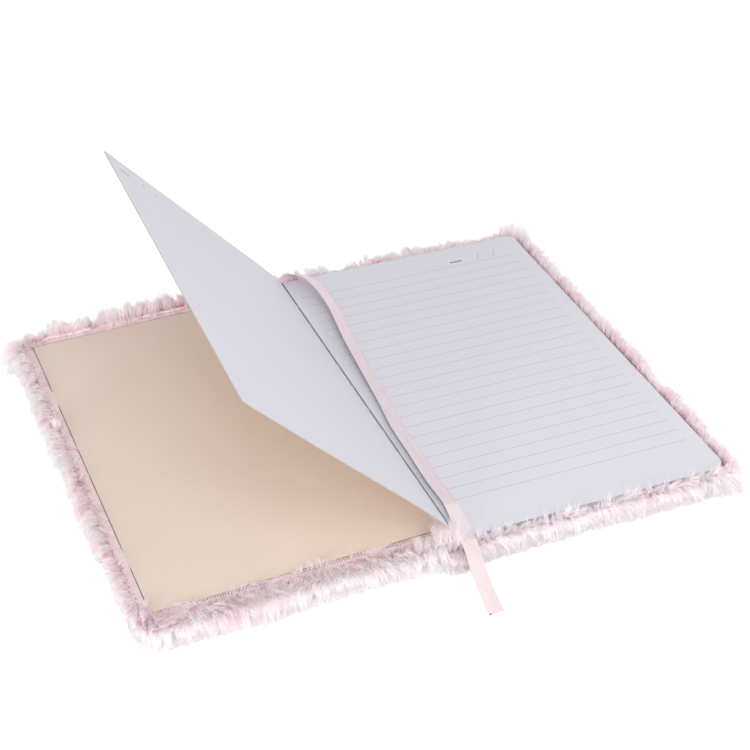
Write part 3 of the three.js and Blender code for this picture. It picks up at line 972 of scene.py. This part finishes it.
def thicken(shape, outside, thickness):
    """Turns a sheet's faces to its outside and gives it its thickness."""
    if sum(face.normal.dot(outside) for face in shape.faces) < 0:
        bmesh.ops.reverse_faces(shape, faces=shape.faces[:])
    bmesh.ops.solidify(shape, geom=shape.faces[:], thickness=thickness)


def cover_endpaper(name, lay, body, seed, shift):
    """The endpaper glued inside one cover."""
    shape = bmesh.new()
    bmesh.ops.create_grid(shape, x_segments=64, y_segments=96, size=0.5)
    size = (seat_edge - endpaper_fold, 2 * seat_half, 1)
    bmesh.ops.scale(shape, verts=shape.verts[:], vec=size)
    middle = ((seat_edge + endpaper_fold) / 2, 0, 0)
    bmesh.ops.translate(shape, verts=shape.verts[:], vec=middle)
    for vert in shape.verts:
        away, head, _ = vert.co
        rest = min(away - endpaper_fold, seat_edge - away, seat_half - abs(head))
        calm = min(max(rest / 0.012, 0), 1)
        wave = noise.noise(Vector((away * 17, head * 13, seed)))
        wave += 0.5 * noise.noise(Vector((away * 38, head * 30, seed + 4)))
        vert.co.z = -0.00025 * calm - 0.00045 * wave * calm * (1 if wave > 0 else 0.5)
    for vert in shape.verts:
        vert.co.y += shift
        vert.co = Vector(lay(np.array(vert.co)))
    bmesh.ops.recalc_face_normals(shape, faces=shape.faces[:])
    shape.normal_update()
    thicken(shape, upright, endpaper_thickness)
    piece = finish_mesh(name, shape, endpaper)
    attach(piece, body)
    return piece


front_endpaper = cover_endpaper("front_endpaper", lay_front, "front_cover", 2.0, front_seat_shift)
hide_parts("front_pastedown")

# The strip over the joint narrows a little towards the cover and sinks with the cloth under it.
joint_ends = {0: (-0.1045, 0.1045), 1: (-0.0965, 0.102)}
shape = bmesh.new()
bmesh.ops.create_grid(shape, x_segments=10, y_segments=60, size=0.5)
for vert in shape.verts:
    out, along = vert.co.x + 0.5, vert.co.y
    low, high = ((1 - out) * joint_ends[0][end] + out * joint_ends[1][end] for end in (0, 1))
    vert.co = Vector((
        -0.0006 - 0.0024 * out**1.5, (low + high) / 2 + along * (high - low),
        0.0160 - 0.0036 * out**0.8,
    ))
bmesh.ops.recalc_face_normals(shape, faces=shape.faces[:])
bmesh.ops.solidify(shape, geom=shape.faces[:], thickness=0.0002)
endpaper_joint = finish_mesh("endpaper_joint", shape, endpaper)
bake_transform(endpaper_joint)
dress(endpaper, "back_pastedown", "back_flyleaf")

# Leaves: cool white writing paper with grey ruling, a short printed rule and two slashes at the
# head. The block's folded signatures lie under the open page; one leaf stands up from the gutter.
page_width = 0.1332
page_half = 0.105
page_top = 0.015
page_thickness = 0.00012
rule_pitch = 7.717
top_rule = 192.8
last_rule = 22
rule_start = 5.2
rule_end = 126.4
half_rule = 0.15
dot_pitch = 0.9
dot_share = 0.66
mark_foot = 194.2
mark_top = 200.2
reverse_from = 217.4


def ruling_group():
    """Where a ruled leaf is printed, from its own place on the sheet in millimetres."""
    group = bpy.data.node_groups.new("page ruling", "ShaderNodeTree")
    group.interface.new_socket("Place", in_out="INPUT", socket_type="NodeSocketVector")
    group.interface.new_socket("Lines", in_out="OUTPUT", socket_type="NodeSocketFloat")
    group.interface.new_socket("Marks", in_out="OUTPUT", socket_type="NodeSocketFloat")
    given = group.nodes.new("NodeGroupInput")
    result = group.nodes.new("NodeGroupOutput")
    x, y, _ = split(group, given.outputs["Place"])

    def inside(value, low, high):
        above = maths(group, "GREATER_THAN", value, low)
        return times(group, above, maths(group, "LESS_THAN", value, high))

    row = maths(group, "DIVIDE", maths(group, "SUBTRACT", top_rule, y), rule_pitch)
    whole = maths(group, "ROUND", row)
    gap = maths(group, "ABSOLUTE", maths(group, "SUBTRACT", row, whole))
    dots = maths(group, "FRACT", maths(group, "DIVIDE", x, dot_pitch))
    lines = maths(group, "LESS_THAN", gap, half_rule / rule_pitch)
    lines = times(group, lines, inside(whole, -0.5, last_rule + 0.5))
    lines = times(group, lines, inside(x, rule_start, rule_end))
    lines = times(group, lines, maths(group, "LESS_THAN", dots, dot_share))
    group.links.new(lines, result.inputs["Lines"])
    marks = times(group, inside(x, 90.0, 97.0), inside(y, 196.1, 197.0))
    lean = times(group, maths(group, "SUBTRACT", y, mark_foot), 0.5)
    for foot in (105.2, 114.4):
        slash = maths(group, "SUBTRACT", maths(group, "SUBTRACT", x, foot), lean)
        slash = maths(group, "LESS_THAN", maths(group, "ABSOLUTE", slash), 0.22)
        slash = times(group, slash, inside(y, mark_foot, mark_top))
        marks = maths(group, "MAXIMUM", marks, times(group, slash, 0.42))
    group.links.new(marks, result.inputs["Marks"])
    return group


page_ruling = ruling_group()


def ruled_paper(name, sheet, ink, strength, reverse=False):
    """Printed paper. The reverse of a leaf has its marks the other way round."""
    material, tree, shader = start_material(name, 0.6, Specular_IOR_Level=0.3)
    place = layer_place(tree, "sheet")
    ruling = put(tree, "ShaderNodeGroup", place, node_tree=page_ruling)
    printed = mixed(tree, times(tree, ruling.outputs["Lines"], strength), sheet, ink)
    if reverse:
        turned = put(tree, "ShaderNodeMapping", place, (reverse_from, 0, 0), None, (-1, 1, 1))
        ruling = put(tree, "ShaderNodeGroup", turned.outputs[0], node_tree=page_ruling)
    printed = mixed(tree, times(tree, ruling.outputs["Marks"], 0.9), printed, colour(84, 84, 90))
    # Painted shade: a dark line along the fold, about a millimetre wide, for the shade deep in the
    # gutter.
    painted_gutter_shade = between(tree, split(tree, place)[0], 1.2, 0.85, 0.0, 0.85)
    printed = mixed(tree, painted_gutter_shade, printed, colour(92, 90, 102))
    fibrous(tree, shader, printed, 0.02, 0.02, 0.0003)
    return material


page_paper = ruled_paper("ruled page", colour(213, 212, 220), colour(140, 140, 150), 0.85)
leaf_paper = ruled_paper("ruled lifted leaf", colour(216, 215, 223), colour(150, 150, 162), 0.3, True)


def sheet_shape(inner, columns, rows, page_corner):
    """A flat leaf with rounded outer corners, from its fold to its fore-edge."""
    shape = bmesh.new()
    bmesh.ops.create_grid(shape, x_segments=columns, y_segments=rows, size=0.5)
    bmesh.ops.scale(shape, verts=shape.verts[:], vec=(page_width - inner, 2 * page_half, 1))
    bmesh.ops.translate(shape, verts=shape.verts[:], vec=((page_width + inner) / 2, 0, 0))
    marks = shape.loops.layers.uv.new("sheet")
    for vert in shape.verts:
        past = Vector((vert.co.x - page_width + page_corner, abs(vert.co.y) - page_half + page_corner))
        if past.x > 0 and past.y > 0 and past.length > page_corner:
            past = past.normalized() * page_corner
            vert.co.x = page_width - page_corner + past.x
            vert.co.y = (page_half - page_corner + past.y) * (1 if vert.co.y > 0 else -1)
        for loop in vert.link_loops:
            loop[marks].uv = (vert.co.x * 1000, vert.co.y * 1000 + 105)
    return shape


shape = sheet_shape(0.00025, 90, 130, 0.006)
for vert in shape.verts:
    x, y, _ = vert.co
    dip = 0.00028 * np.exp(-x / 0.0022)
    wave = noise.noise(Vector((x * 14, y * 11, 3.0))) * 0.00035 * min(x / 0.03, 1)
    curl = 0.0011 * max((x - 0.112) / 0.021, 0) ** 2 * max((y - 0.078) / 0.027, 0) ** 2
    vert.co.z = page_top - dip + max(wave, -0.0001) + curl
bmesh.ops.recalc_face_normals(shape, faces=shape.faces[:])
thicken(shape, upright, page_thickness)
open_page = finish_mesh("open_page", shape, page_paper)
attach(open_page, "text_block")
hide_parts("right_leaf")

leaf_angle = np.radians(133.5)
leaf_thickness = 0.00014
leaf_run = Vector((np.cos(leaf_angle), 0, np.sin(leaf_angle)))
leaf_face = Vector((np.sin(leaf_angle), 0, -np.cos(leaf_angle)))
fold_line = Vector((0, 0, 0.0155))


def standing_leaf(name, behind, material, node):
    """A leaf that stands up from the gutter, bowed as the photograph shows."""
    shape = sheet_shape(0.0007, 80, 100, 0.0025)
    for vert in shape.verts:
        out, y, _ = vert.co
        headward = (y + page_half) / (2 * page_half)
        mm = out * 1000
        bow = (4.9 - 3.7 * headward) * (1 - np.exp(-mm / 14)) * np.exp(-mm / 70)
        bow += (1.23 * headward - 0.38) * mm / 100
        ripple = noise.noise(Vector((out * 12, y * 9, 6.0))) * 0.35 * min(mm / 40, 1)
        vert.co = (
            fold_line + leaf_run * out * (1.015 - 0.06 * headward) + Vector((0, y, 0))
            + leaf_face * (bow + ripple - behind) / 1000
        )
    shape.normal_update()
    thicken(shape, leaf_face, leaf_thickness)
    piece = finish_mesh(name, shape, material)
    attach(piece, "leaf_bundle")
    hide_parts(node)
    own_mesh(piece)
    return piece


standing_leaf("standing_leaf", 0.0, leaf_paper, "lifted_leaf")
standing_leaf("standing_endpaper", 0.35, endpaper, "front_flyleaf")

sheet_pitch = 0.00013
signature_paper, tree, shader = start_material("stacked sheets", 0.7, Specular_IOR_Level=0.3)
upward = split(tree, object_place(tree))[2]
jitter = clouds(tree, None, 60.0, 2.0)
stacked = maths(tree, "ADD", times(tree, upward, 2 * np.pi / sheet_pitch), times(tree, jitter, 9.0))
sheets = maths(tree, "SINE", stacked)
edges = graded(tree, sheets, (0.15, 196, 194, 200), (0.7, 226, 225, 231))
tree.links.new(edges, shader.inputs["Base Color"])
raise_surface(tree, shader, sheets, 0.00005)
dress(signature_paper, *(f"signature_{number}" for number in range(1, 6)))

# Sewing thread: waxed white thread, one stitch after the other along the fold.
twist_pitch = 0.0006
waxed, tree, shader = start_material("waxed thread", 0.5)
across, spine_way, _ = split(tree, object_place(tree))
twist = waves(tree, maths(tree, "ADD", spine_way, times(tree, across, 1.4)), twist_pitch)
spun = graded(tree, twist, (0.2, 196, 194, 198), (0.8, 228, 226, 230))
tree.links.new(spun, shader.inputs["Base Color"])
raise_surface(tree, shader, twist, 0.00008)
dress(waxed, *(f"stitch_{number}" for number in range(1, 11)))

# Table and light: a white table and a bright room, with a broad lamp in front, a small one on the
# right and a low one on the left. The table and the room glow less where they only light the book.
table_shape = bmesh.new()
bmesh.ops.create_grid(table_shape, x_segments=8, y_segments=8, size=3)
white, tree, shader = start_material("white table", 0.9, Specular_IOR_Level=0.1)
shader.inputs["Base Color"].default_value = (0.86, 0.86, 0.86, 1)
shader.inputs["Emission Strength"].default_value = 1.0


def seen_itself(tree):
    """One for a ray that looks at a surface, straight on, in a mirror or through glass."""
    ray = put(tree, "ShaderNodeLightPath").outputs
    mirrored = maths(tree, "MAXIMUM", ray["Is Glossy Ray"], ray["Is Transmission Ray"])
    return maths(tree, "MAXIMUM", ray["Is Camera Ray"], mirrored)


glow = mixed(tree, seen_itself(tree), (0, 0, 0, 1), (0.42, 0.42, 0.42, 1))
tree.links.new(glow, shader.inputs["Emission Color"])
table = finish_mesh("table", table_shape, white, smooth=False)

world = bpy.data.worlds.new("room")
bpy.context.scene.world = world
world.use_nodes = True
tree = world.node_tree
walls = mixed(tree, seen_itself(tree), (0.62, 0.62, 0.625, 1), (1, 1, 1, 1))
tree.links.new(walls, tree.nodes["Background"].inputs["Color"])


def lamp(name, place, aim, size, power):
    light = bpy.data.lights.new(name, "AREA")
    light.shape = "DISK"
    light.size = size
    light.energy = power
    holder = bpy.data.objects.new(name, light)
    bpy.context.scene.collection.objects.link(holder)
    way = Vector(aim) - Vector(place)
    turned = way.to_track_quat("-Z", "Y").to_matrix().to_4x4()
    holder.matrix_world = Matrix.Translation(place) @ turned


lamp("front lamp", (-0.15, -0.93, 0.9), (0, -0.02, 0), 1.0, 8.3)
lamp("right lamp", (1.0, -0.1, 0.8), (0, 0, 0), 0.4, 2.3)
lamp("left lamp", (-0.95, -0.72, 0.22), (-0.06, -0.02, 0.01), 0.6, 6.6)
